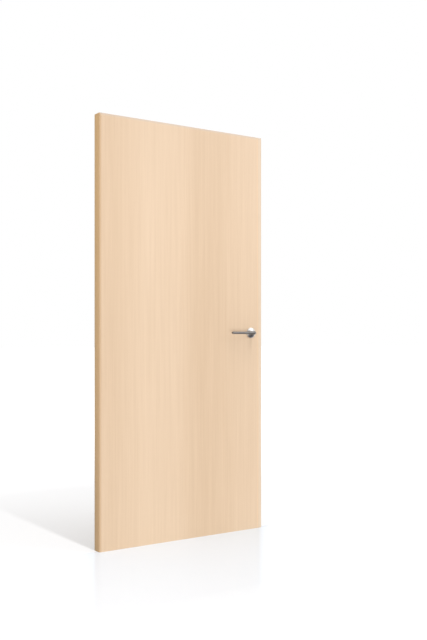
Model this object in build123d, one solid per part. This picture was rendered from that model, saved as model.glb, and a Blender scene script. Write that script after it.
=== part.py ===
from build123d import *
import math
import os

# A flush hollow core door leaf with a lever on a round rose on each face.
# Millimetres. X runs from the hinge edge to the lock edge, Y from the front face to the back, Z up.
# The origin is on the hinge edge, at mid thickness and at the leaf's foot.

# Leaf
leaf_width = 914.0
leaf_height = 1981.0
leaf_thickness = 54.0
arris_radius = 8.0
veneer_thickness = 0.6
veneer_seam_from_hinge = 484.0
skin_thickness = 3.2
lipping_thickness = 8.0
stile_width = 30.0
rail_height = 35.0

# Block that the lock is bored into
lock_block_width = 100.0
lock_block_height = 400.0

# Paper honeycomb, stretched to fill the frame
cell_spacing_x = 84.0
cell_spacing_z = 106.0
cell_flat_share = 0.52
paper_thickness = 1.0

# Lever set
lever_axis_height = 990.0
backset = 70.0
spindle_size = 8.0
spindle_reach = 30.0
socket_clearance = 0.1
spindle_hole_radius = 9.0
rose_bolt_offset = 19.0
rose_bolt_radius = 2.0
rose_bolt_head_radius = 3.7
rose_bolt_head_height = 2.0
rose_bolt_hole_radius = 3.0
bolt_clearance = 0.15

# Rose
rose_radius = 26.0
rose_rim_height = 4.5
rose_crown = 10.5
rose_wall = 1.2
rose_base_thickness = 4.0
rose_base_clearance = 0.3
bearing_radius = 13.0
bearing_height = 7.5
neck_running_clearance = 0.08
rose_hole_clearance = 0.5

# Lever
neck_radius = 8.5
neck_start = 1.5
elbow_radius = 16.0
arm_standoff = 44.0
arm_length = 144.0
arm_taper_length = 34.0
grip_half_height = 6.5
grip_half_depth = 7.5
grip_tip_radius = 4.0
grub_screw_radius = 2.5
grub_screw_height = 18.0

# Tubular latch
latch_bore_radius = 12.5
latch_tube_radius = 12.0
latch_tube_wall = 1.2
latch_tube_past_spindle = 15.0
latch_bore_past_tube = 1.0
forend_width = 25.4
forend_height = 57.0
forend_thickness = 3.0
forend_corner_radius = 6.0
forend_clearance = 0.2
forend_screw_spacing = 41.0
forend_screw_radius = 2.2
forend_screw_head_radius = 4.2
bolt_width = 12.0
bolt_height = 16.0
bolt_throw = 12.0
bolt_slot_clearance = 0.25
bolt_nose_width = 2.0
bolt_edge_radius = 0.8
bolt_guide_length = 5.0
bolt_guide_clearance = 0.3
bolt_tail_radius = 4.0
bolt_tail_gap = 4.0
follower_radius = 8.0
follower_clearance = 0.08
crank_width = 5.0
crank_depth = 6.0
crank_reach = 9.4

# Worked out from the sizes above
half_thickness = leaf_thickness / 2
skin_face = half_thickness - veneer_thickness
frame_face = skin_face - skin_thickness
stile_start = lipping_thickness
stile_end = stile_start + stile_width
lock_stile_start = leaf_width - stile_end
neck_end = arm_standoff - elbow_radius
forend_back = backset - forend_thickness
latch_tube_end = -latch_tube_past_spindle
front = -1
back = 1

# The handle and the latch are made about the spindle's line and then set in the leaf
handle_place = Pos(leaf_width - backset, 0, lever_axis_height)


def block(x_range, y_range, z_range):
    """A plain block between the given low and high values."""
    ranges = (x_range, y_range, z_range)
    sizes = [high - low for low, high in ranges]
    middle = [(high + low) / 2 for low, high in ranges]
    return Pos(*middle) * Box(*sizes)


def rod(x_range, radius):
    """A round bar that crosses the spindle's line at a right angle, along the leaf's width."""
    low, high = x_range
    return Pos((low + high) / 2, 0, 0) * Rot(0, 90, 0) * Cylinder(radius, high - low)


def cross_rod(radius, y_range, height=0):
    """A round bar through the leaf's thickness, on the spindle's line or above it."""
    low, high = y_range
    return Pos(0, (low + high) / 2, height) * Rot(90, 0, 0) * Cylinder(radius, high - low)


def square_bar(clearance, y_range):
    """The spindle's square section, with room round it where it makes a hole."""
    half_size = spindle_size / 2 + clearance
    sides = (-half_size, half_size)
    return block(sides, y_range, sides)


def leaf_outline():
    """The whole leaf with its long edges eased."""
    plan = Pos(leaf_width / 2, 0) * RectangleRounded(leaf_width, leaf_thickness, arris_radius)
    return extrude(plan, leaf_height)


def handle_holes():
    """The spindle hole and the two bolt holes, right through the leaf."""
    through = (-leaf_thickness, leaf_thickness)
    holes = cross_rod(spindle_hole_radius, through)
    for offset in (-rose_bolt_offset, rose_bolt_offset):
        holes += cross_rod(rose_bolt_hole_radius, through, offset)
    return handle_place * holes


def latch_bore():
    """The round bore that the latch slides into from the lock edge."""
    return handle_place * rod((latch_tube_end - latch_bore_past_tube, backset), latch_bore_radius)


def layer(side, inner, outer, x_range):
    """A sheet over the leaf's full height, between two depths on one side."""
    depths = sorted((side * inner, side * outer))
    return block(x_range, depths, (0, leaf_height))


def veneer(side, x_range):
    """One leaf of veneer, with its outer edge eased with the leaf."""
    sheet = layer(side, skin_face, half_thickness, x_range)
    return (sheet & leaf_outline()) - handle_holes()


def skin(side):
    """The hardboard face that the veneer is glued to."""
    sheet = layer(side, frame_face, skin_face, (stile_start, leaf_width - lipping_thickness))
    return sheet - handle_holes()


def lipping(x_range):
    """A strip of solid wood on a long edge, under the veneers."""
    strip = block(x_range, (-skin_face, skin_face), (0, leaf_height))
    return strip & leaf_outline()


def forend_plate(thickness, clearance):
    """The forend's outline, set in from the lock edge, about the spindle's line."""
    outline = RectangleRounded(
        forend_width + 2 * clearance, forend_height + 2 * clearance, forend_corner_radius + clearance
    )
    plane = Plane(origin=(backset, 0, 0), x_dir=(0, 1, 0), z_dir=(1, 0, 0))
    return extrude(plane * outline, -thickness)


def lock_lipping():
    """The lock edge's strip, bored for the latch and let in for its forend."""
    strip = lipping((leaf_width - lipping_thickness, leaf_width))
    return strip - latch_bore() - handle_place * forend_plate(forend_thickness, forend_clearance)


def honeycomb_cell(x, z, column_step, row_step):
    """One hexagonal cell inside its paper, flat at top and bottom."""
    half_flat = column_step * cell_flat_share / 2
    slope_run = column_step - 2 * half_flat
    half_row = row_step / 2
    slope = math.hypot(slope_run, half_row)
    rise = half_row - paper_thickness / 2
    tip = half_flat + slope_run - paper_thickness / 2 * slope / half_row
    shoulder = tip - rise * slope_run / half_row
    upper = [(tip, 0), (shoulder, rise), (-shoulder, rise)]
    corners = upper + [(-dx, -dz) for dx, dz in upper]
    return Wire.make_polygon([(x + dx, z + dz) for dx, dz in corners])


def honeycomb_core():
    """Paper strips glued at their flats and stretched into cells that fill the hollow."""
    width = lock_stile_start - stile_end
    height = leaf_height - 2 * rail_height
    columns = max(1, round(width / cell_spacing_x))
    rows = max(1, round(height / cell_spacing_z))
    column_step = width / columns
    row_step = height / rows
    hollow = Pos(stile_end + width / 2, rail_height + height / 2) * Rectangle(width, height)
    block_place = Pos(lock_stile_start - lock_block_width / 2, lever_axis_height)
    lock_block_face = block_place * Rectangle(lock_block_width, lock_block_height)
    whole_cells = []
    cut_cells = []
    for column in range(columns):
        staggered = column % 2
        for row in range(rows + staggered):
            x = stile_end + (column + 0.5) * column_step
            z = rail_height + (row + 0.5 - staggered / 2) * row_step
            cell = honeycomb_cell(x, z, column_step, row_step)
            box = cell.bounding_box()
            inside = stile_end < box.min.X and box.max.X < lock_stile_start
            inside = inside and rail_height < box.min.Y and box.max.Y < leaf_height - rail_height
            taken = lock_block_face.bounding_box()
            beside = box.max.X < taken.min.X or box.max.Y < taken.min.Y or box.min.Y > taken.max.Y
            if inside and beside:
                whole_cells.append(cell)
            else:
                cut_cells.append(Face(cell))
    paper = Face(hollow.face().outer_wire(), whole_cells) - lock_block_face - cut_cells
    back_of_hollow = Plane(origin=(0, frame_face, 0), x_dir=(1, 0, 0), z_dir=(0, -1, 0))
    lattice = extrude(back_of_hollow * paper, 2 * frame_face)
    # Cut ends of paper that no longer join the rest fall away
    return max(lattice.solids(), key=lambda piece: piece.volume)


def turned(profile_points, side):
    """A form turned about the spindle, from points as radius and height off the face."""
    outline = [(radius, side * (half_thickness + height)) for radius, height in profile_points]
    face = make_face(Polyline(*outline, close=True))
    return revolve(face, Axis.Y)


def dome(radius, rim, crown, side):
    """A low round dome on the leaf's face, with an upright rim."""
    base = side * half_thickness
    rim_top = (radius, base + side * rim)
    apex = (0, base + side * crown)
    cap = TangentArc(apex, rim_top, tangent=(1, 0))
    rest = Polyline(rim_top, (radius, base), (0, base), apex)
    face = make_face([cap, rest])
    return revolve(face, Axis.Y)


def rose_cover(side):
    """The thin domed cover over the fixing plate, open round the lever's neck."""
    shell = dome(rose_radius, rose_rim_height, rose_crown, side)
    inside = dome(rose_radius - rose_wall, rose_rim_height - rose_wall / 2, rose_crown - rose_wall, side)
    hole = cross_rod(neck_radius + rose_hole_clearance, sorted((0, side * leaf_thickness)))
    return shell - inside - hole


def rose_base(side):
    """The fixing plate under the cover, with the neck's bearing and two bolt holes."""
    plate_radius = rose_radius - rose_wall - rose_base_clearance
    bore_radius = neck_radius + neck_running_clearance
    plate = turned(
        [
            (bore_radius, 0),
            (plate_radius, 0),
            (plate_radius, rose_rim_height - rose_wall),
            (plate_radius - 1, rose_base_thickness),
            (bearing_radius, rose_base_thickness),
            (bearing_radius, bearing_height),
            (bore_radius, bearing_height),
        ],
        side,
    )
    face = side * half_thickness
    outer = side * (half_thickness + rose_base_thickness)
    seat = side * (half_thickness + rose_base_thickness - rose_bolt_head_height)
    for offset in (-rose_bolt_offset, rose_bolt_offset):
        plate -= cross_rod(rose_bolt_radius + bolt_clearance, sorted((face, outer)), offset)
        if side == front:
            head_hole = rose_bolt_head_radius + bolt_clearance
            plate -= cross_rod(head_hole, sorted((seat, outer)), offset)
    return plate


def rose_bolts():
    """Two bolts that draw the fixing plates together through the leaf, their heads at the front."""
    front_face = -(half_thickness + rose_base_thickness)
    head_back = front_face + rose_bolt_head_height
    far_end = half_thickness + rose_base_thickness
    bolts = []
    for offset in (-rose_bolt_offset, rose_bolt_offset):
        shank = cross_rod(rose_bolt_radius, (head_back, far_end), offset)
        bolts.append(shank + cross_rod(rose_bolt_head_radius, (front_face, head_back), offset))
    return Compound(bolts)


def spindle():
    """The square bar that both levers and the latch's follower turn on."""
    half_length = half_thickness + spindle_reach
    return square_bar(0, (-half_length, half_length))


def arm_section(along, half_height, half_depth):
    """The back lever's oval section at a distance along its arm from the spindle."""
    centre = (-along, half_thickness + arm_standoff, 0)
    plane = Plane(origin=centre, x_dir=(0, 1, 0), z_dir=(-1, 0, 0))
    return plane * Ellipse(half_depth, half_height)


def back_lever():
    """One cast lever: a round neck, a round elbow and an arm that thins to an oval grip."""
    bend_start = half_thickness + neck_end
    neck = cross_rod(neck_radius, (half_thickness + neck_start, bend_start))
    neck_section = Plane(origin=(0, bend_start, 0), x_dir=(1, 0, 0), z_dir=(0, 1, 0)) * Circle(neck_radius)
    elbow = revolve(neck_section, Axis((-elbow_radius, bend_start, 0), (0, 0, 1)), 90)
    taper_end = elbow_radius + arm_taper_length
    taper = loft(
        [
            arm_section(elbow_radius, neck_radius, neck_radius),
            arm_section(taper_end, grip_half_height, grip_half_depth),
        ]
    )
    grip = extrude(arm_section(taper_end, grip_half_height, grip_half_depth), arm_length - taper_end)
    tip = grip.edges().sort_by(Axis.X)[0]
    grip = fillet(tip, grip_tip_radius)
    arm = neck + elbow + taper + grip
    arm -= square_bar(socket_clearance, (half_thickness, half_thickness + spindle_reach + 1))
    screw_hole = Pos(0, half_thickness + grub_screw_height, 0) * Cylinder(
        grub_screw_radius, neck_radius + 1, align=(Align.CENTER, Align.CENTER, Align.MAX)
    )
    return arm - screw_hole


def latch_case():
    """The latch's tube, closed at its far end and bored across for the follower."""
    tube = rod((latch_tube_end, forend_back), latch_tube_radius)
    tube -= rod((latch_tube_end + latch_tube_wall, forend_back), latch_tube_radius - latch_tube_wall)
    across = (-half_thickness, half_thickness)
    return tube - cross_rod(follower_radius + follower_clearance, across)


def latch_forend():
    """The plate let into the lock edge, with the bolt's slot and two screw holes."""
    plate = forend_plate(forend_thickness, 0)
    slot = (bolt_width / 2 + bolt_slot_clearance, bolt_height / 2 + bolt_slot_clearance)
    plate -= block((forend_back, backset), (-slot[0], slot[0]), (-slot[1], slot[1]))
    for offset in (-forend_screw_spacing / 2, forend_screw_spacing / 2):
        hole = Plane(origin=(backset, 0, offset), z_dir=(1, 0, 0))
        plate -= hole * CounterSinkHole(
            forend_screw_radius, forend_screw_head_radius, 2 * forend_thickness, mode=Mode.PRIVATE
        )
    return plate


def latch_bolt():
    """The bolt at full throw: a bevelled head, a guide ring inside the tube and a tail."""
    half_width = bolt_width / 2
    head_back = forend_back - bolt_throw
    bevel_start = backset + 1
    tip = backset + bolt_throw
    plan = Polyline(
        (head_back, -half_width),
        (tip, -half_width),
        (tip, bolt_nose_width - half_width),
        (bevel_start, half_width),
        (head_back, half_width),
        close=True,
    )
    head = extrude(make_face(plan), bolt_height / 2, both=True)
    head = fillet(head.edges().filter_by(Axis.Z).sort_by(Axis.X)[-2:], bolt_edge_radius)
    ring_radius = latch_tube_radius - latch_tube_wall - bolt_guide_clearance
    ring = rod((head_back - bolt_guide_length, head_back), ring_radius)
    tail_end = crank_reach + bolt_tail_gap
    tail = rod((tail_end, head_back - bolt_guide_length), bolt_tail_radius)
    return head + ring + tail


def latch_follower():
    """The hub inside the latch that the spindle turns, with its crank pointing up."""
    across = (-latch_tube_radius, latch_tube_radius)
    hub = cross_rod(follower_radius, across)
    hub += block(
        (-crank_width / 2, crank_width / 2),
        (-crank_depth / 2, crank_depth / 2),
        (spindle_size / 2 + 1, crank_reach),
    )
    return hub - square_bar(socket_clearance, across)


def frame_pieces():
    """The softwood frame between the skins, and the block for the lock."""
    depth = (-frame_face, frame_face)
    full = (0, leaf_height)
    between = (stile_end, lock_stile_start)
    block_x = (lock_stile_start - lock_block_width, lock_stile_start)
    block_z = (lever_axis_height - lock_block_height / 2, lever_axis_height + lock_block_height / 2)
    return {
        "hinge_stile": block((stile_start, stile_end), depth, full),
        "lock_stile": block((lock_stile_start, leaf_width - lipping_thickness), depth, full) - latch_bore(),
        "bottom_rail": block(between, depth, (0, rail_height)),
        "top_rail": block(between, depth, (leaf_height - rail_height, leaf_height)),
        "lock_block": block(block_x, depth, block_z) - latch_bore() - handle_holes(),
        "honeycomb_core": honeycomb_core(),
    }


def facing_pieces():
    """The skins, the veneer leaves on them and the strips on the long edges."""
    hinge_leaf = (0, veneer_seam_from_hinge)
    lock_leaf = (veneer_seam_from_hinge, leaf_width)
    return {
        "front_skin": skin(front),
        "back_skin": skin(back),
        "front_veneer_hinge_leaf": veneer(front, hinge_leaf),
        "front_veneer_lock_leaf": veneer(front, lock_leaf),
        "back_veneer_hinge_leaf": veneer(back, hinge_leaf),
        "back_veneer_lock_leaf": veneer(back, lock_leaf),
        "hinge_lipping": lipping((0, lipping_thickness)),
        "lock_lipping": lock_lipping(),
    }


def latch_pieces():
    """The tubular latch in the lock edge."""
    return {
        "latch_case": latch_case(),
        "latch_forend": latch_forend(),
        "latch_bolt": latch_bolt(),
        "latch_follower": latch_follower(),
    }


def handle_pieces():
    """The roses, the levers and what joins them through the leaf."""
    lever = back_lever()
    return {
        "front_rose": rose_cover(front),
        "back_rose": rose_cover(back),
        "front_rose_base": rose_base(front),
        "back_rose_base": rose_base(back),
        "rose_bolts": rose_bolts(),
        "front_lever": mirror(lever, about=Plane.XZ),
        "back_lever": lever,
        "spindle": spindle(),
    }


os.makedirs("parts", exist_ok=True)
for pieces in (frame_pieces(), facing_pieces()):
    for name, piece in pieces.items():
        export_step(piece, f"parts/{name}.step")
for pieces in (latch_pieces(), handle_pieces()):
    for name, piece in pieces.items():
        export_step(handle_place * piece, f"parts/{name}.step")
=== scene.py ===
import math

import bmesh
import bpy
from mathutils import Matrix, Vector


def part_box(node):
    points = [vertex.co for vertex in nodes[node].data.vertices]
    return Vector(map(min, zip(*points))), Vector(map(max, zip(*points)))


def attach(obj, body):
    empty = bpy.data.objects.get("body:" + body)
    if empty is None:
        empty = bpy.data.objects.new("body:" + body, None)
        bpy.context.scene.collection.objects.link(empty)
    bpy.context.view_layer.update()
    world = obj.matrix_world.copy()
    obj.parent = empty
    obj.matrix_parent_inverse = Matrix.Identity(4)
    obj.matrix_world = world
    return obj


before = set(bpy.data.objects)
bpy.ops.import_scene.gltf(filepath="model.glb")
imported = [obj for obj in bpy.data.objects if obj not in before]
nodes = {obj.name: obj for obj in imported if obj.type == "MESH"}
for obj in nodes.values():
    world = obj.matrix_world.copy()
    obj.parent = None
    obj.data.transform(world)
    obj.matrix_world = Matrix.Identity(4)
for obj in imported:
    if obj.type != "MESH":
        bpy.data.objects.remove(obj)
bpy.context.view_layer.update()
scene = bpy.context.scene
print("door loaded,", len(nodes), "pieces")

# places on the door that finishes, screws and the floor share, in metres
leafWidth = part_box("lock_lipping")[1].x
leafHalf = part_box("back_veneer_lock_leaf")[1].y
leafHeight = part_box("back_veneer_lock_leaf")[1].z
spindleLine = sum(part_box("spindle"), Vector()) / 2


# Shader kit

class Sock:
    # an output socket; sums and products written in Python become Math nodes
    def __init__(self, finish, socket):
        self.finish, self.socket = finish, socket

    def maths(self, operation, *terms, clamp=False):
        settings = {"operation": operation, "use_clamp": clamp}
        return self.finish.node("ShaderNodeMath", settings, dict(enumerate(terms)))

    def __add__(self, other):
        return self.maths("ADD", self, other)

    def __radd__(self, other):
        return self.maths("ADD", other, self)

    def __sub__(self, other):
        return self.maths("SUBTRACT", self, other)

    def __rsub__(self, other):
        return self.maths("SUBTRACT", other, self)

    def __mul__(self, other):
        return self.maths("MULTIPLY", self, other)

    def __rmul__(self, other):
        return self.maths("MULTIPLY", other, self)

    def __truediv__(self, other):
        return self.maths("DIVIDE", self, other)

    def __rtruediv__(self, other):
        return self.maths("DIVIDE", other, self)

    def __pow__(self, other):
        return self.maths("POWER", self, other)

    def __rpow__(self, other):
        return self.maths("POWER", other, self)

    def root(self):
        return self.maths("SQRT", self)

    def size(self):
        return self.maths("ABSOLUTE", self)

    def fract(self):
        return self.maths("FRACT", self)

    def clamped(self):
        return self.maths("ADD", self, 0, clamp=True)

    def above(self, low, high):
        # 0 under low, 1 over high, an even slope between
        return self.maths("DIVIDE", self - low, high - low, clamp=True)

    def beside(self, middle, half):
        # 1 at the middle, an even slope down to 0 a half-width away
        return (1 - ((self - middle) / half).size()).clamped()


class Finish:
    # one new material or world, and the only place that makes its nodes
    def __init__(self, name, family=bpy.data.materials):
        self.owner = family.new(name)
        self.owner.use_nodes = True
        self.tree = self.owner.node_tree
        self.tree.nodes.clear()

    def node(self, kind, settings=None, sockets=None, out=0):
        made = self.tree.nodes.new(kind)
        for key, value in (settings or {}).items():
            setattr(made, key, value)
        for key, value in (sockets or {}).items():
            if isinstance(value, Sock):
                self.tree.links.new(value.socket, made.inputs[key])
            else:
                made.inputs[key].default_value = value
        return Sock(self, made.outputs[out]) if made.outputs else made

    def axes(self):
        # the door's own x, y and z in metres, which ride with each piece
        place = self.node("ShaderNodeTexCoord", out="Object")
        return [self.node("ShaderNodeSeparateXYZ", {}, {0: place}, out=i) for i in range(3)]

    def noise(self, x, y, z, detail=2.0, rough=0.5):
        place = self.node("ShaderNodeCombineXYZ", {}, {0: x, 1: y, 2: z})
        sockets = {"Vector": place, "Scale": 1.0, "Detail": detail, "Roughness": rough}
        return self.node("ShaderNodeTexNoise", {}, sockets)

    def spread(self, *where, detail=2.0, rough=0.5):
        # noise about zero, mostly within one half either way
        return (self.noise(*where, detail=detail, rough=rough) - 0.5) * 2

    def mix(self, share, first, second):
        colours = {0: share, 6: padded(first), 7: padded(second)}
        return self.node("ShaderNodeMix", {"data_type": "RGBA"}, colours, out=2)

    def shown(self):
        # 1 for what the eye, a mirror or glass sees, 0 for rays that only carry light
        rays = ("Is Camera Ray", "Is Glossy Ray", "Is Transmission Ray")
        eye, mirror, glass = (self.node("ShaderNodeLightPath", out=ray) for ray in rays)
        return (eye + mirror + glass).clamped()

    def surface(self, colour, roughness, relief, depth, metallic=0.0):
        bump = {"Height": relief, "Distance": depth, "Strength": 1.0}
        sockets = {"Base Color": padded(colour), "Roughness": roughness, "Metallic": metallic}
        sockets["Normal"] = self.node("ShaderNodeBump", {}, bump)
        shader = self.node("ShaderNodeBsdfPrincipled", {}, sockets)
        self.node("ShaderNodeOutputMaterial", {}, {"Surface": shader})
        return self.owner


def padded(colour):
    return colour if isinstance(colour, Sock) else (*colour, 1.0)


def inWaves(place, counts):
    # where noise is read, for so many waves a metre along x, y and z
    return [axis * count for axis, count in zip(place, counts)]


def dress(names, material):
    for name in names:
        mesh = nodes[name].data
        mesh.materials.clear()
        mesh.materials.append(material)
        mesh.polygons.foreach_set("material_index", [0] * len(mesh.polygons))


# Veneer on the two faces

veneer = {
    "pale": (0.855, 0.652, 0.466),
    "deep": (0.706, 0.505, 0.329),
    "wander": 0.010,  # metres that a grain line strays over the height
    "wanderWaves": (1.6, 0.55),  # waves a metre across the leaf and up it, here and below
    "broadWaves": (13, 0.25),
    "figureWaves": (85, 1.7),
    "fibreWaves": (520, 3.2),
    "poreWaves": (1500, 26),
    "heartWaves": (160, 1.1),
    "poreRange": (0.60, 0.74),  # noise at which a pore starts and at which it is full
    "heartRange": (0.56, 0.78),
    "broadShare": 0.13,  # how far each layer moves the tone
    "figureShare": 0.29,
    "fibreShare": 0.27,
    "poreShare": 0.18,
    "heart": (0.66, 0.40, 0.20),  # browner streaks, in one band of each leaf
    "heartHalf": 0.05,  # metres either way, as for the streak below
    "heartShare": 0.35,
    "streak": (0.93, 0.64, 0.36),  # one warm line beside the lock edge
    "streakIn": 0.025,
    "streakHalf": 0.005,
    "streakShare": 0.35,
    "roughness": 0.42,
    "fibreSheen": 0.05,
    "poreSheen": 0.08,
    "fibreRelief": 0.5,
    "relief": 0.00005,
}
edgeTones = {  # each tone is full up to the first distance in from its edge and gone at the second
    # painted shade along the eased hinge corner, which widens the dark edge
    "hinge": {"colour": (0.62, 0.40, 0.21), "share": 0.58, "fade": (0.005, 0.014)},
    # greyer and darker along the top
    "top": {"colour": (0.70, 0.60, 0.52), "share": 0.55, "fade": (0.004, 0.011)},
    # painted highlight, paler along the rounded lock corner
    "lock": {"colour": (0.90, 0.84, 0.74), "share": 0.27, "fade": (0.004, 0.030)},
}
veneerLeaves = {  # the tone, how far the pale band lifts it, and where the bands are
    "hinge_leaf": {
        "seeds": {"front": 3.1, "back": 14.7},
        "tone": 0.40,
        "lift": 0.33,
        "paleAt": 0.30,
        "paleHalf": 0.22,
        "heartAt": 0.462,
    },
    "lock_leaf": {
        "seeds": {"front": 8.4, "back": 21.9},
        "tone": 0.37,
        "lift": 0.26,
        "paleAt": 0.85,
        "paleHalf": 0.20,
        "heartAt": 0.70,
    },
}


def veneerFinish(name, leaf, seed):
    wood = Finish(name + "_wood")
    x, _, z = wood.axes()

    def at(across, waves, shift=0):
        return across * waves[0] + shift, seed, z * waves[1]

    line = x + wood.spread(*at(x, veneer["wanderWaves"], seed)) * veneer["wander"]
    broad = wood.spread(*at(line, veneer["broadWaves"], seed))
    figure = wood.spread(*at(line, veneer["figureWaves"]), detail=3)
    fibre = wood.spread(*at(line, veneer["fibreWaves"]), detail=3, rough=0.6)
    pores = wood.noise(*at(line, veneer["poreWaves"]), detail=1).above(*veneer["poreRange"])
    pale = (1 - ((x - leaf["paleAt"]) / leaf["paleHalf"]) ** 2).clamped()
    tone = leaf["tone"] + pale * leaf["lift"] + broad * veneer["broadShare"]
    tone = tone + figure * veneer["figureShare"] + fibre * veneer["fibreShare"]
    tone = tone - pores * veneer["poreShare"]
    heart = wood.noise(*at(line, veneer["heartWaves"], seed)).above(*veneer["heartRange"])
    heart = heart * x.beside(leaf["heartAt"], veneer["heartHalf"])
    colour = wood.mix(tone.clamped(), veneer["deep"], veneer["pale"])
    colour = wood.mix(heart * veneer["heartShare"], colour, veneer["heart"])
    inFrom = {"hinge": x, "top": leafHeight - z, "lock": leafWidth - x}
    # painted shade at the hinge corner, a painted highlight at the lock corner, greyer and darker
    # along the top
    for edge, mark in edgeTones.items():
        full = 1 - inFrom[edge].above(*mark["fade"])
        colour = wood.mix(full * mark["share"], colour, mark["colour"])
    streak = line.beside(leafWidth - veneer["streakIn"], veneer["streakHalf"])
    colour = wood.mix(streak * veneer["streakShare"], colour, veneer["streak"])
    sheen = veneer["roughness"] + fibre * veneer["fibreSheen"] + pores * veneer["poreSheen"]
    relief = fibre * veneer["fibreRelief"] - pores
    return wood.surface(colour, sheen, relief=relief, depth=veneer["relief"])


for face in ("front", "back"):
    for half, leaf in veneerLeaves.items():
        name = f"{face}_veneer_{half}"
        dress([name], veneerFinish(name, leaf, leaf["seeds"][face]))
print("veneers dressed")


# Solid wood: growth rings about a pith line that lies outside the board

edgeStrip = {
    "early": (0.876, 0.553, 0.233),
    "late": (0.692, 0.396, 0.147),
    "fleck": (0.50, 0.29, 0.13),
    "foot": (0.45, 0.28, 0.13),  # painted shade, darker towards the foot and at the back
    "footUnder": 1.8,  # metres up
    "footRise": 0.34,  # more for each metre further down
    "backShadeShare": 0.40,
    "backShadeRange": (-0.002, 0.024),  # metres from mid thickness
    "arrisShade": (0.67, 0.467, 0.297),  # painted shade, greyer and a little darker on the rounded corners
    "arrisShadeShare": 0.7,
    "arrisShadeRange": (0.018, 0.024),  # metres from mid thickness, either way
    "ring": 0.0024,
    "pith": (-0.035, 0.060),
    "roughness": 0.45,
    "relief": 0.00006,
}
softwood = {
    "early": (0.80, 0.63, 0.40),
    "late": (0.57, 0.36, 0.17),
    "fleck": (0.62, 0.40, 0.20),
    "ring": 0.0031,
    "pith": (0.050, -0.045),
    "roughness": 0.68,
    "relief": 0.00018,
}
boardGrain = {  # what both woods share
    "stray": 0.006,  # metres that a ring strays
    "strayWaves": (1.3, 9),  # waves a metre along the trunk and across it, here and below
    "wobble": 0.5,  # of a ring
    "wobbleWaves": (0.8, 30),
    "fibreWaves": (5, 900),
    "fleckWaves": (60, 1600),
    "broadWaves": (1.1, 12),
    "lateRise": (0.35, 0.90),  # parts of a ring
    "lateFall": (0.92, 1.0),
    "fleckRange": (0.62, 0.76),
    "leastLate": 0.14,
    "lateShare": 0.62,
    "fibreShare": 0.22,
    "fleckShare": 0.45,
    "broadShare": 0.16,
    "fibreSheen": 0.06,
    "lateSheen": 0.05,
    "fibreRelief": 0.4,
    "lateRelief": 0.3,
}
upright = (2, 0, 1)  # the axis number of the trunk's line, then the two of its section
level = (0, 1, 2)
boards = {
    "hinge_lipping": ("maple_strip_hinge", edgeStrip, upright, 2.0),
    "lock_lipping": ("maple_strip_lock", edgeStrip, upright, 9.0),
    "hinge_stile": ("pine_hinge_stile", softwood, upright, 4.0),
    "lock_stile": ("pine_lock_stile", softwood, upright, 6.0),
    "top_rail": ("pine_top_rail", softwood, level, 1.0),
    "bottom_rail": ("pine_bottom_rail", softwood, level, 5.0),
    "lock_block": ("pine_lock_block", softwood, upright, 7.0),
}


def boardFinish(name, look, trunk, seed):
    wood = Finish(name)
    place = wood.axes()
    run, a, b = (place[axis] for axis in trunk)

    def at(layer, along=0, across=0):
        # the seed shifts a layer along or across, so that no two boards match
        waves = boardGrain[layer]
        return run * waves[0] + along, a * waves[1] + across, b * waves[1]

    stray = wood.spread(*at("strayWaves", along=seed)) * boardGrain["stray"]
    away = ((a - look["pith"][0]) ** 2 + (b - look["pith"][1]) ** 2).root() + stray
    alongRing, acrossRing = boardGrain["wobbleWaves"]
    wobble = wood.spread(run * alongRing, a * acrossRing, seed) * boardGrain["wobble"]
    ring = (away / look["ring"] + wobble).fract()
    late = ring.above(*boardGrain["lateRise"]) * (1 - ring.above(*boardGrain["lateFall"]))
    fibre = wood.spread(*at("fibreWaves", along=seed), detail=3, rough=0.6)
    fleck = wood.noise(*at("fleckWaves", across=seed), detail=1).above(*boardGrain["fleckRange"])
    share = late * boardGrain["lateShare"] + boardGrain["leastLate"] + fibre * boardGrain["fibreShare"]
    colour = wood.mix(share.clamped(), look["early"], look["late"])
    colour = wood.mix(fleck * boardGrain["fleckShare"], colour, look["fleck"])
    broad = (0.5 + wood.spread(*at("broadWaves", across=seed)) * 0.5).clamped()
    colour = wood.mix(broad * boardGrain["broadShare"], colour, look["late"])
    if "foot" in look:
        _, y, z = place
        # painted shade: darker towards the foot and towards the back
        dull = (look["footUnder"] - z) * look["footRise"]
        dull = dull + y.above(*look["backShadeRange"]) * look["backShadeShare"]
        colour = wood.mix(dull.clamped(), colour, look["foot"])
        # painted shade: greyer and a little darker on the rounded corners
        arrisShade = y.size().above(*look["arrisShadeRange"]) * look["arrisShadeShare"]
        colour = wood.mix(arrisShade, colour, look["arrisShade"])
    sheen = look["roughness"] + fibre * boardGrain["fibreSheen"] - late * boardGrain["lateSheen"]
    relief = fibre * boardGrain["fibreRelief"] - fleck + late * boardGrain["lateRelief"]
    return wood.surface(colour, sheen, relief=relief, depth=look["relief"])


for name, board in boards.items():
    dress([name], boardFinish(*board))
print("frame and edge strips dressed")


# Pressed hardboard under the veneers

hardboard = {
    "dark": (0.22, 0.125, 0.062),
    "light": (0.47, 0.31, 0.18),
    "fibreWaves": (700, 2600, 700),  # a metre along x, y and z; the mat is pressed flat along y
    "clumpWaves": (110, 400, 110),
    "chipWaves": (380, 1500, 240),
    "chipRange": (0.56, 0.70),
    "darker": 0.22,
    "fibreShare": 0.9,
    "clumpShare": 0.5,
    "chipShare": 0.25,
    "roughness": 0.80,
    "clumpSheen": 0.1,
    "chipRelief": 0.4,
    "relief": 0.00020,
}


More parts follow.
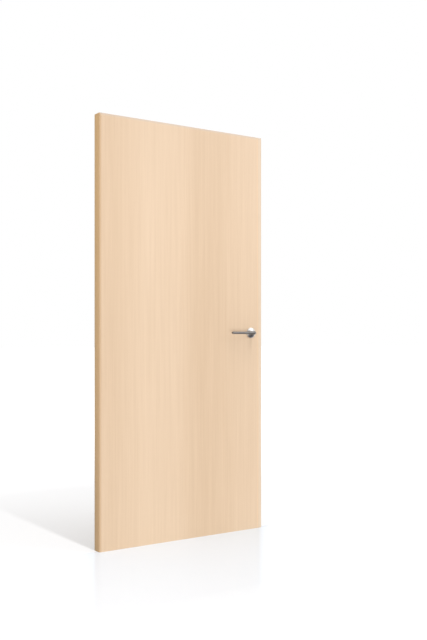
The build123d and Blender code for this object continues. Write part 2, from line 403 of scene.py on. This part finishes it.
def hardboardFinish():
    board = Finish("pressed_hardboard")
    place = board.axes()
    fibre = board.noise(*inWaves(place, hardboard["fibreWaves"]), detail=4, rough=0.65)
    clump = board.noise(*inWaves(place, hardboard["clumpWaves"]), detail=3)
    chips = board.noise(*inWaves(place, hardboard["chipWaves"])).above(*hardboard["chipRange"])
    share = fibre * hardboard["fibreShare"] + clump * hardboard["clumpShare"] - hardboard["darker"]
    share = share + chips * hardboard["chipShare"]
    colour = board.mix(share.clamped(), hardboard["dark"], hardboard["light"])
    sheen = hardboard["roughness"] + clump * hardboard["clumpSheen"]
    relief = fibre + chips * hardboard["chipRelief"]
    return board.surface(colour, sheen, relief=relief, depth=hardboard["relief"])


dress(["front_skin", "back_skin"], hardboardFinish())


# Kraft paper of the honeycomb

kraft = {
    "dark": (0.42, 0.27, 0.145),
    "light": (0.62, 0.45, 0.28),
    "fibreWaves": (900, 260, 900),
    "cloudWaves": (45, 45, 45),
    "darker": 0.15,
    "fibreShare": 0.8,
    "cloudShare": 0.5,
    "roughness": 0.88,
    "fibreSheen": 0.08,
    "relief": 0.00006,
}


def kraftFinish():
    paper = Finish("kraft_paper")
    place = paper.axes()
    fibre = paper.noise(*inWaves(place, kraft["fibreWaves"]), detail=4, rough=0.7)
    cloud = paper.noise(*inWaves(place, kraft["cloudWaves"]))
    share = fibre * kraft["fibreShare"] + cloud * kraft["cloudShare"] - kraft["darker"]
    colour = paper.mix(share.clamped(), kraft["dark"], kraft["light"])
    sheen = kraft["roughness"] + fibre * kraft["fibreSheen"]
    return paper.surface(colour, sheen, relief=fibre, depth=kraft["relief"])


dress(["honeycomb_core"], kraftFinish())
print("boards and paper dressed")


# Satin stainless steel

satinSteel = {
    "colour": (0.72, 0.695, 0.67),
    "worn": (0.81, 0.79, 0.765),
    "lines": 2600,  # brush lines a metre
    "deepLines": 0.5,  # of those, along y on a turned rose
    "alongArm": 55,  # breaks a metre in the lines that run along the arm
    "upPlate": 60,  # and in those that run up a plate
    "cloudWaves": 70,
    "scratchWaves": (900, 120),  # a metre across and up
    "smudgeRange": (0.50, 0.66),
    "scratchRange": (0.70, 0.76),
    "lineShare": 0.35,
    "scratchShare": 0.4,
    "roughness": 0.27,
    "lineSheen": 0.06,
    "smudgeSheen": 0.10,
    "cloudSheen": 0.05,
    "scratchRelief": 0.5,
    "relief": 0.000012,
    "leverPaintedShade": 0.34,  # painted shade: the levers are a darker copy of the roses' steel
    # painted shade: the forend and the screws are darker copies of the same steel
    "forendPaintedShade": 0.72,
    "screwPaintedShade": 0.80,
}


def steelFinish(name, brush, seed, handled=0.0, shade=1.0):
    steel = Finish(name)
    x, y, z = steel.axes()
    lines = satinSteel["lines"]
    if brush == "turned":  # rings about the spindle's line
        a, c = x - spindleLine.x, z - spindleLine.z
        where = (a * a + c * c).root() * lines, y * lines * satinSteel["deepLines"], seed
    elif brush == "long":  # along the arm
        where = x * satinSteel["alongArm"] + seed, y * lines, z * lines
    else:  # up and down
        where = x * lines, y * lines, z * satinSteel["upPlate"] + seed
    grain = steel.spread(*where, detail=3, rough=0.7)
    cloudy = satinSteel["cloudWaves"]
    cloud = steel.noise(x * cloudy + seed, y * cloudy, z * cloudy, detail=3)
    smudge = cloud.above(*satinSteel["smudgeRange"]) * handled
    across, up = satinSteel["scratchWaves"]
    scratch = steel.noise(x * across, y * across + seed, z * up, detail=1)
    scratch = scratch.above(*satinSteel["scratchRange"])
    # a shade under 1 is painted shade, a darker copy of the same steel
    plain, worn = ([channel * shade for channel in satinSteel[key]] for key in ("colour", "worn"))
    share = 0.5 + grain * satinSteel["lineShare"] + scratch * satinSteel["scratchShare"]
    colour = steel.mix(share.clamped(), plain, worn)
    sheen = satinSteel["roughness"] + grain * satinSteel["lineSheen"]
    sheen = sheen + smudge * satinSteel["smudgeSheen"] + cloud * satinSteel["cloudSheen"]
    relief = grain - scratch * satinSteel["scratchRelief"]
    return steel.surface(colour, sheen, metallic=1.0, relief=relief, depth=satinSteel["relief"])


leverSteel = steelFinish("satin_steel_lever", "long", 5.0, handled=1.0, shade=satinSteel["leverPaintedShade"])
forendSteel = steelFinish("satin_steel_forend", "up", 7.0, shade=satinSteel["forendPaintedShade"])
dress(["front_rose", "back_rose"], steelFinish("satin_steel_turned", "turned", 1.0))
dress(["front_lever", "back_lever"], leverSteel)
dress(["latch_forend"], forendSteel)
dress(["latch_bolt"], steelFinish("satin_steel_bolt", "long", 9.0, handled=0.6))


# Zinc plate on the hidden fittings

zincPlate = {
    "dull": (0.50, 0.49, 0.45),
    "bright": (0.70, 0.69, 0.66),
    "spangleWaves": (420, 420, 420),
    "stainWaves": (60, 60, 60),
    "duller": 0.2,
    "spangleShare": 0.9,
    "stainShare": 0.4,
    "roughness": 0.42,
    "stainSheen": 0.15,
    "metallic": 0.9,
    "relief": 0.00003,
}


def zincFinish():
    plate = Finish("zinc_plate")
    place = plate.axes()
    spangle = plate.noise(*inWaves(place, zincPlate["spangleWaves"]), detail=3, rough=0.6)
    stain = plate.noise(*inWaves(place, zincPlate["stainWaves"]))
    share = spangle * zincPlate["spangleShare"] + stain * zincPlate["stainShare"] - zincPlate["duller"]
    colour = plate.mix(share.clamped(), zincPlate["dull"], zincPlate["bright"])
    sheen = zincPlate["roughness"] + stain * zincPlate["stainSheen"]
    metal, depth = zincPlate["metallic"], zincPlate["relief"]
    return plate.surface(colour, sheen, metallic=metal, relief=spangle, depth=depth)


latchWorks = ["latch_case", "latch_follower", "spindle"]
roseWorks = ["front_rose_base", "back_rose_base", "rose_bolts"]
dress(latchWorks + roseWorks, zincFinish())
print("metal dressed")


# Small screws

sharpFrom = 32  # degrees; faces that meet at less are shaded as one curve


def meshPiece(name, body, material, grid, placed):
    # a turned form from rings of points, which run from the tip to the head's middle
    shape = bmesh.new()
    rings = [[shape.verts.new(placed @ Vector(point)) for point in ring] for ring in grid]
    for lower, upper in zip(rings, rings[1:]):
        for i in range(len(lower)):
            j = (i + 1) % len(lower)
            shape.faces.new((lower[i], lower[j], upper[j], upper[i]))
    shape.faces.new(rings[-1])
    shape.faces.new(list(reversed(rings[0])))
    bmesh.ops.recalc_face_normals(shape, faces=shape.faces)
    mesh = bpy.data.meshes.new(name)
    shape.to_mesh(mesh)
    shape.free()
    for face in mesh.polygons:
        face.use_smooth = True
    mesh.set_sharp_from_angle(angle=math.radians(sharpFrom))
    mesh.materials.append(material)
    piece = bpy.data.objects.new(name, mesh)
    scene.collection.objects.link(piece)
    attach(piece, body)


def allRound(sides):
    # the angles of a ring's points
    return [2 * math.pi * i / sides for i in range(sides)]


def around(turns, radius, height):
    # one ring of points
    return [(radius * math.cos(t), radius * math.sin(t), height) for t in turns]


forendScrew = {
    "headRadius": 0.0041,
    "headDepth": 0.00006,  # the head lies this far under the plate's face
    "headRings": 15,
    "rimDepth": 0.00025,
    "rimEase": 0.0001,
    "shankRadius": 0.0021,
    "depth": 0.0029,
    "coneShare": 0.72,  # shares of the depth at which the cone and the shank end
    "shankShare": 0.85,
    "tipShare": 0.9,  # of the shank's radius
    "crossReach": 0.0024,
    "crossHalf": 0.00050,
    "crossFlare": 1.4,  # the cross is wider towards its middle
    "crossTaper": 0.6,
    "crossDepth": 0.0013,
    "crossRise": 0.45,  # and shallower towards its ends
    "crossWall": 0.00018,
    "spacing": 0.041,
    "turns": {"lower": -0.2, "upper": 0.6},  # radians
}


def countersunkGrid(look, sides=48):
    # z is out of the plate; the head is flush and its cross is sunk into it
    turns = allRound(sides)
    flatRadius = look["headRadius"] - look["rimEase"]
    profile = [
        (look["shankRadius"] * look["tipShare"], -look["depth"]),
        (look["shankRadius"], -look["depth"] * look["shankShare"]),
        (look["shankRadius"], -look["depth"] * look["coneShare"]),
        (look["headRadius"], -look["rimDepth"]),
        (flatRadius, -look["rimEase"]),
    ]
    rings = [around(turns, radius, height) for radius, height in profile]
    for step in range(1, look["headRings"]):
        radius = flatRadius * (1 - step / look["headRings"])
        out = radius / look["crossReach"]
        half = look["crossHalf"] * (look["crossFlare"] - out * look["crossTaper"])
        depth = look["crossDepth"] * (1 - look["crossRise"] * out)
        ring = []
        for a, b, height in around(turns, radius, -look["headDepth"]):
            beside = min(abs(a), abs(b)) - half
            past = max(abs(a), abs(b)) - look["crossReach"]
            sunk = min(1.0, max(0.0, -max(beside, past) / look["crossWall"]))
            ring.append((a, b, height - sunk * depth))
        rings.append(ring)
    return rings


grubScrew = {
    "radius": 0.00242,
    "rimEase": 0.0003,
    "length": 0.0036,
    "tipLength": 0.0007,
    "tipShare": 0.5,
    "socket": 0.00125,  # from its middle to a flat
    "socketDepth": 0.0016,
    "floorShare": 0.3,  # the socket's floor narrows to this share of its width
    "floorDepth": 1.25,  # and lies at this share of its depth
    "below": 0.0078,  # the spindle's line
    "offFace": 0.018,  # out from the leaf's face
}


def grubGrid(look, sides=36):
    # z is down and out of the neck; six flats make the key's socket
    turns = allRound(sides)

    def hexagon(reach, height):
        ring = []
        for t in turns:
            off = (t + math.pi / 6) % (math.pi / 3) - math.pi / 6
            corner = reach / math.cos(off)
            ring.append((corner * math.cos(t), corner * math.sin(t), height))
        return ring

    profile = [
        (look["radius"] * look["tipShare"], -look["length"]),
        (look["radius"], -look["length"] + look["tipLength"]),
        (look["radius"], -look["rimEase"]),
        (look["radius"] - look["rimEase"], 0),
    ]
    socket = [
        (look["socket"], 0),
        (look["socket"], -look["socketDepth"]),
        (look["socket"] * look["floorShare"], -look["socketDepth"] * look["floorDepth"]),
    ]
    rings = [around(turns, radius, height) for radius, height in profile]
    return rings + [hexagon(reach, height) for reach, height in socket]


blackSteel = {
    "dark": (0.09, 0.09, 0.095),
    "light": (0.22, 0.215, 0.21),
    "bloomWaves": (900, 900, 900),
    "roughness": 0.38,
    "bloomSheen": 0.15,
    "metallic": 0.9,
    "relief": 0.00001,
}


def blackFinish():
    steel = Finish("blackened_steel")
    bloom = steel.noise(*inWaves(steel.axes(), blackSteel["bloomWaves"]), detail=3)
    colour = steel.mix(bloom, blackSteel["dark"], blackSteel["light"])
    sheen = blackSteel["roughness"] + bloom * blackSteel["bloomSheen"]
    metal, depth = blackSteel["metallic"], blackSteel["relief"]
    return steel.surface(colour, sheen, metallic=metal, relief=bloom, depth=depth)


screwSteel = steelFinish("satin_steel_screws", "up", 12.0, shade=satinSteel["screwPaintedShade"])
forendGrid = countersunkGrid(forendScrew)
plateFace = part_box("latch_forend")[1].x
outOfEdge = Matrix.Rotation(math.radians(90), 4, "Y")
for label, side in (("lower", -1), ("upper", 1)):
    at = Vector((plateFace, 0, spindleLine.z + side * forendScrew["spacing"] / 2))
    turned = Matrix.Rotation(forendScrew["turns"][label], 4, "Z")
    placed = Matrix.Translation(at) @ outOfEdge @ turned
    meshPiece(f"forend_screw_{label}", "leaf", screwSteel, forendGrid, placed)

grubSteel = blackFinish()
neckGrid = grubGrid(grubScrew)
outOfNeck = Matrix.Rotation(math.pi, 4, "X")
for label, side in (("front", -1), ("back", 1)):
    away = side * (leafHalf + grubScrew["offFace"])
    at = Vector((spindleLine.x, away, spindleLine.z - grubScrew["below"]))
    placed = Matrix.Translation(at) @ outOfNeck
    meshPiece(f"{label}_grub_screw", "lever_set", grubSteel, neckGrid, placed)
print("screws made")


# Floor, daylight and lamps

studio = {
    "sky": 0.66,
    "floorColour": (0.64, 0.64, 0.645),
    "floorGlow": 0.343,
    "floorReach": 60,
    "speckle": (0.60, 0.60, 0.605),
    "speckleWaves": 30,
    "speckleShare": 0.06,
    "farGlow": 0.40,  # the lamps don't reach the far floor, which is white in the photograph
    "farFrom": (0.4, -1),
    "farRange": (2.5, 5.0),
}
polish = {
    "colour": (0.60, 0.80, 0.90),
    "roughness": 0.16,
    "gloss": 0.20,
    "across": 0.135,  # more gloss for each metre towards the lock edge
    "ahead": 0.05,  # and less for each metre out to the front
    "leanLeft": 0.487,  # the polished strip runs out to the front left and narrows
    "leanRight": 0.748,
    "softLeft": 0.10,  # metres over which each side of it fades
    "softRight": 0.08,
    "softFoot": 0.01,
    "softEnd": 0.45,
    "reach": 1.25,
    "tint": (0.95, 0.99, 1.15),  # the blue evens out the warm light that the veneer throws down
    "tintFull": 0.26,  # gloss at which the tint is whole
}
lamps = {
    # long and narrow overhead, from above the leaf out to the front, hung level and turned a little
    "overhead_box": {"at": (0.227, -6.2, 16.0), "turn": 2.1, "size": (0.40, 12.4), "power": 1300},
    # low in front, and hidden from the camera
    "front_box": {"at": (-0.4, -3.2, 0.25), "aim": (0.45, 0, 0.25), "size": (2.6, 0.5), "power": 27},
    # up to the right, which the metal's upper curves mirror
    "glint_box": {"at": (4.27, -4.11, 3.74), "aim": (0.85, 0, 1.0), "size": (2.4, 2.0), "power": 38},
}
darkCard = {
    "colour": (0.05, 0.052, 0.075),
    "ahead": 0.80,
    "left": -2.5,
    "right": 3.5,
    "height": 1.27,
}


def floorFinish():
    floor = Finish("studio_floor")
    x, y, z = floor.axes()
    speckleWaves = studio["speckleWaves"]
    speckle = floor.noise(x * speckleWaves, y * speckleWaves, z, detail=3)
    shade = floor.mix(speckle * studio["speckleShare"], studio["floorColour"], studio["speckle"])
    matt = floor.node("ShaderNodeBsdfDiffuse", {}, {"Color": shade})
    gloss = {"Color": padded(polish["colour"]), "Roughness": polish["roughness"]}
    glossy = floor.node("ShaderNodeBsdfAnisotropic", {}, gloss)
    # a polished strip as wide as the leaf starts at its foot
    left = (x - y * polish["leanLeft"]).above(-polish["softLeft"], 0)
    fromRight = x - y * polish["leanRight"]
    right = 1 - fromRight.above(leafWidth, leafWidth + polish["softRight"])
    foot = (0 - y).above(0, polish["softFoot"])
    end = (y + polish["reach"]).above(0, polish["softEnd"])
    strength = x * polish["across"] + y * polish["ahead"] + polish["gloss"]
    near = strength.clamped() * left * right * (foot * end)
    both = floor.node("ShaderNodeMixShader", {}, {0: near, 1: matt, 2: glossy})
    farX, farY = studio["farFrom"]
    away = ((x - farX) ** 2 + (y - farY) ** 2).root()
    level = studio["floorGlow"] + away.above(*studio["farRange"]) * studio["farGlow"]
    tint = floor.mix((near / polish["tintFull"]).clamped(), (1, 1, 1), polish["tint"])
    lit = {"Color": tint, "Strength": floor.shown() * (1 - near) * level}
    glow = floor.node("ShaderNodeEmission", {}, lit)
    whole = floor.node("ShaderNodeAddShader", {}, {0: both, 1: glow})
    floor.node("ShaderNodeOutputMaterial", {}, {"Surface": whole})
    return floor.owner


def clothFinish():
    # dark on the side that faces the door, and clear from the front
    cloth = Finish("dark_cloth")
    dark = cloth.node("ShaderNodeBsdfDiffuse", {}, {"Color": padded(darkCard["colour"])})
    clear = cloth.node("ShaderNodeBsdfTransparent")
    fromFront = cloth.node("ShaderNodeNewGeometry", out="Backfacing")
    oneSided = cloth.node("ShaderNodeMixShader", {}, {0: fromFront, 1: dark, 2: clear})
    cloth.node("ShaderNodeOutputMaterial", {}, {"Surface": oneSided})
    return cloth.owner


def flatSheet(name, corners, material):
    mesh = bpy.data.meshes.new(name)
    mesh.from_pydata(corners, [], [(0, 1, 2, 3)])
    mesh.materials.append(material)
    piece = bpy.data.objects.new(name, mesh)
    scene.collection.objects.link(piece)
    return piece


def softLamp(name, look):
    lamp = bpy.data.lights.new(name, "AREA")
    lamp.shape = "RECTANGLE"
    lamp.size, lamp.size_y = look["size"]
    lamp.energy = look["power"]
    holder = bpy.data.objects.new(name, lamp)
    scene.collection.objects.link(holder)
    holder.location = look["at"]
    if "turn" in look:
        holder.rotation_euler = (0, 0, math.radians(look["turn"]))
    else:
        towards = Vector(look["aim"]) - Vector(look["at"])
        holder.rotation_euler = towards.to_track_quat("-Z", "Y").to_euler()
    return holder


reach = studio["floorReach"]
floorCorners = [(-reach, -reach, 0), (reach, -reach, 0), (reach, reach, 0), (-reach, reach, 0)]
floorPiece = flatSheet("studio_floor", floorCorners, floorFinish())

sky = Finish("studio_daylight", bpy.data.worlds)
scene.world = sky.owner
dayLevel = studio["sky"] + sky.shown() * (1 - studio["sky"])
backdrop = sky.node("ShaderNodeBackground", {}, {"Color": (1, 1, 1, 1), "Strength": dayLevel})
sky.node("ShaderNodeOutputWorld", {}, {"Surface": backdrop})

lampHolders = {name: softLamp(name, look) for name, look in lamps.items()}
lampHolders["front_box"].visible_camera = False

# a dark card that only reflections see, so that pale metal has a dark side
cardLeft, cardRight, cardTop = darkCard["left"], darkCard["right"], darkCard["height"]
cardY = -darkCard["ahead"]
cardUpper = [(cardLeft, cardY, cardTop), (cardRight, cardY, cardTop)]
cardLower = [(cardRight, cardY, 0), (cardLeft, cardY, 0)]
cardPiece = flatSheet("dark_card", cardUpper + cardLower, clothFinish())
cardPiece.visible_camera = False
cardPiece.visible_diffuse = False
cardPiece.visible_shadow = False
cardPiece.visible_transmission = False
print("floor and lamps placed")


# Camera at the photograph's place

camera = {
    "at": (-1.700, -3.493, 0.9758),
    "turn": -33.78,
    "lens": 47.84,
    "filmWidth": 36,
    "shiftY": 0.0245,
}
eye = bpy.data.cameras.new("camera")
eye.lens = camera["lens"]
eye.shift_y = camera["shiftY"]
eye.sensor_width = camera["filmWidth"]
holder = bpy.data.objects.new("camera", eye)
holder.location = camera["at"]
holder.rotation_euler = (math.radians(90), 0, math.radians(camera["turn"]))
scene.collection.objects.link(holder)
scene.camera = holder
scene.view_settings.view_transform = "Standard"
